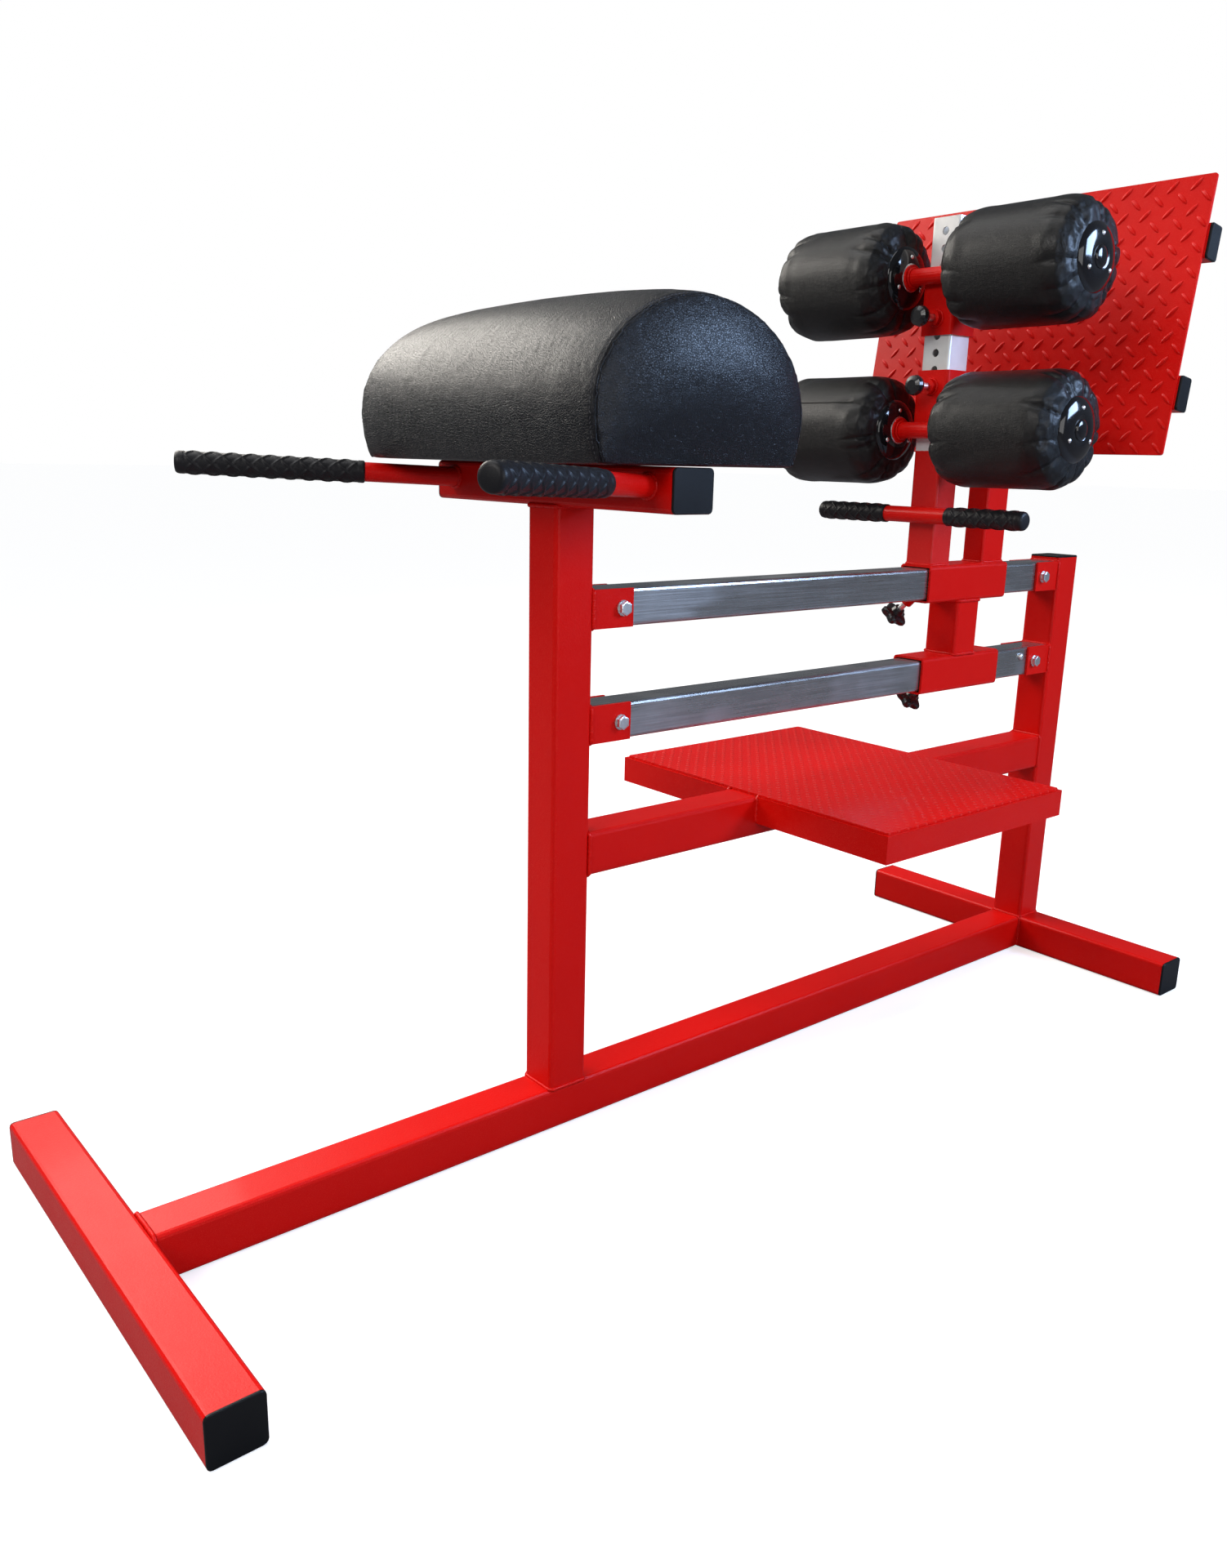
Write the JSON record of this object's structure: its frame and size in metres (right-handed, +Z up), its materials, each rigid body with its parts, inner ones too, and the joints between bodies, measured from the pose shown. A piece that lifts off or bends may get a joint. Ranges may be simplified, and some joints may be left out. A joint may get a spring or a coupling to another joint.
{
  "type": "roman chair",
  "caption": "Roman chair: a rolled body pad on a post frame, and a rail-mounted sled that carries foot rollers, a handlebar and a tread-plate footplate.",
  "frame": {"origin": "middle of the footprint, on the floor", "axes": "+X from the body pad's handles to the footplate, +Y to the side with the clamp knobs, +Z up"},
  "size_m": [1.777, 0.7318, 1.3131],
  "materials": {
    "red_frame_paint": "gloss",
    "bare_steel": "satin",
    "zinc_plate": "gloss",
    "cap_plastic": "satin",
    "hub_plastic": "gloss",
    "grip_rubber": "matte",
    "black_vinyl": "satin"
  },
  "bodies": {
    "frame": {"front_crosspiece": "red_frame_paint", "front_foot_cap_near": "cap_plastic", "front_foot_cap_far": "cap_plastic", "rear_crosspiece": "red_frame_paint", "rear_foot_cap_near": "cap_plastic", "rear_foot_cap_far": "cap_plastic", "base_rail": "red_frame_paint", "front_upright": "red_frame_paint", "rear_upright": "red_frame_paint", "rear_upright_cap": "cap_plastic", "mid_beam": "red_frame_paint", "crossbeam": "red_frame_paint", "crossbeam_cap_near": "cap_plastic", "crossbeam_cap_far": "cap_plastic", "platform_frame_near": "red_frame_paint", "platform_frame_far": "red_frame_paint", "platform_tread": "red_frame_paint", "slide_rail_upper": "bare_steel", "slide_rail_lower": "bare_steel", "rail_bracket_front_upper": "red_frame_paint", "rail_bolt_front_upper": "zinc_plate", "rail_bracket_front_lower": "red_frame_paint", "rail_bolt_front_lower": "zinc_plate", "rail_bracket_rear_upper": "red_frame_paint", "rail_bolt_rear_upper": "zinc_plate", "rail_bracket_rear_lower": "red_frame_paint", "rail_bolt_rear_lower": "zinc_plate", "body_pad": "black_vinyl", "handle_tube_near": "red_frame_paint", "handle_tube_far": "red_frame_paint", "handle_grip_near": "grip_rubber", "handle_grip_far": "grip_rubber"},
    "sled": {"sled_sleeve_upper": "red_frame_paint", "sled_sleeve_lower": "red_frame_paint", "sled_post": "red_frame_paint", "roller_post": "zinc_plate", "handlebar": "red_frame_paint", "handlebar_grip_near": "grip_rubber", "handlebar_grip_far": "grip_rubber", "footplate_post": "red_frame_paint", "footplate": "red_frame_paint", "footplate_frame": "red_frame_paint", "footplate_cap_upper_near": "cap_plastic", "footplate_cap_upper_far": "cap_plastic", "footplate_cap_lower_near": "cap_plastic", "footplate_cap_lower_far": "cap_plastic"},
    "lock_upper": {"lock_knob_upper": "cap_plastic"},
    "lock_lower": {"lock_knob_lower": "cap_plastic"},
    "carrier_upper": {"roller_carrier_upper": "red_frame_paint"},
    "carrier_lower": {"roller_carrier_lower": "red_frame_paint"},
    "pin_upper": {"pull_pin_upper": "cap_plastic"},
    "pin_lower": {"pull_pin_lower": "cap_plastic"},
    "roller_upper_near": {"roller_hub_upper_near": "hub_plastic", "roller_pad_upper_near": "black_vinyl"},
    "roller_upper_far": {"roller_hub_upper_far": "hub_plastic", "roller_pad_upper_far": "black_vinyl"},
    "roller_lower_near": {"roller_hub_lower_near": "hub_plastic", "roller_pad_lower_near": "black_vinyl"},
    "roller_lower_far": {"roller_hub_lower_far": "hub_plastic", "roller_pad_lower_far": "black_vinyl"}
  },
  "joints": [
    {"name": "sled_slide", "type": "slide", "parent": "frame", "child": "sled", "axis": [1, 0, 0], "range_m": [-0.42, 0.07]},
    {"name": "lock_upper_turn", "type": "hinge", "parent": "sled", "child": "lock_upper", "pos_m": [0.4855, 0.03, 0.679], "axis": [0, 0.7071, -0.7071], "range_deg": [0, 360]},
    {"name": "lock_lower_turn", "type": "hinge", "parent": "sled", "child": "lock_lower", "pos_m": [0.5445, 0.03, 0.53], "axis": [0, 0.7071, -0.7071], "range_deg": [0, 360]},
    {"name": "carrier_upper_slide", "type": "slide", "parent": "sled", "child": "carrier_upper", "axis": [0, 0, 1], "range_m": [0, 0.075]},
    {"name": "carrier_lower_slide", "type": "slide", "parent": "sled", "child": "carrier_lower", "axis": [0, 0, 1], "range_m": [-0.025, 0.025]},
    {"name": "pull_pin_upper_push", "type": "slide", "parent": "carrier_upper", "child": "pin_upper", "axis": [1, 0, 0], "range_m": [0, 0.012]},
    {"name": "pull_pin_lower_push", "type": "slide", "parent": "carrier_lower", "child": "pin_lower", "axis": [1, 0, 0], "range_m": [0, 0.012]},
    {"name": "roller_upper_near_spin", "type": "hinge", "parent": "carrier_upper", "child": "roller_upper_near", "pos_m": [0.4445, 0, 1.173], "axis": [0, 1, 0], "continuous": true},
    {"name": "roller_upper_far_spin", "type": "hinge", "parent": "carrier_upper", "child": "roller_upper_far", "pos_m": [0.4445, 0, 1.173], "axis": [0, 1, 0], "continuous": true},
    {"name": "roller_lower_near_spin", "type": "hinge", "parent": "carrier_lower", "child": "roller_lower_near", "pos_m": [0.4445, 0, 0.947], "axis": [0, 1, 0], "continuous": true},
    {"name": "roller_lower_far_spin", "type": "hinge", "parent": "carrier_lower", "child": "roller_lower_far", "pos_m": [0.4445, 0, 0.947], "axis": [0, 1, 0], "continuous": true}
  ]
}
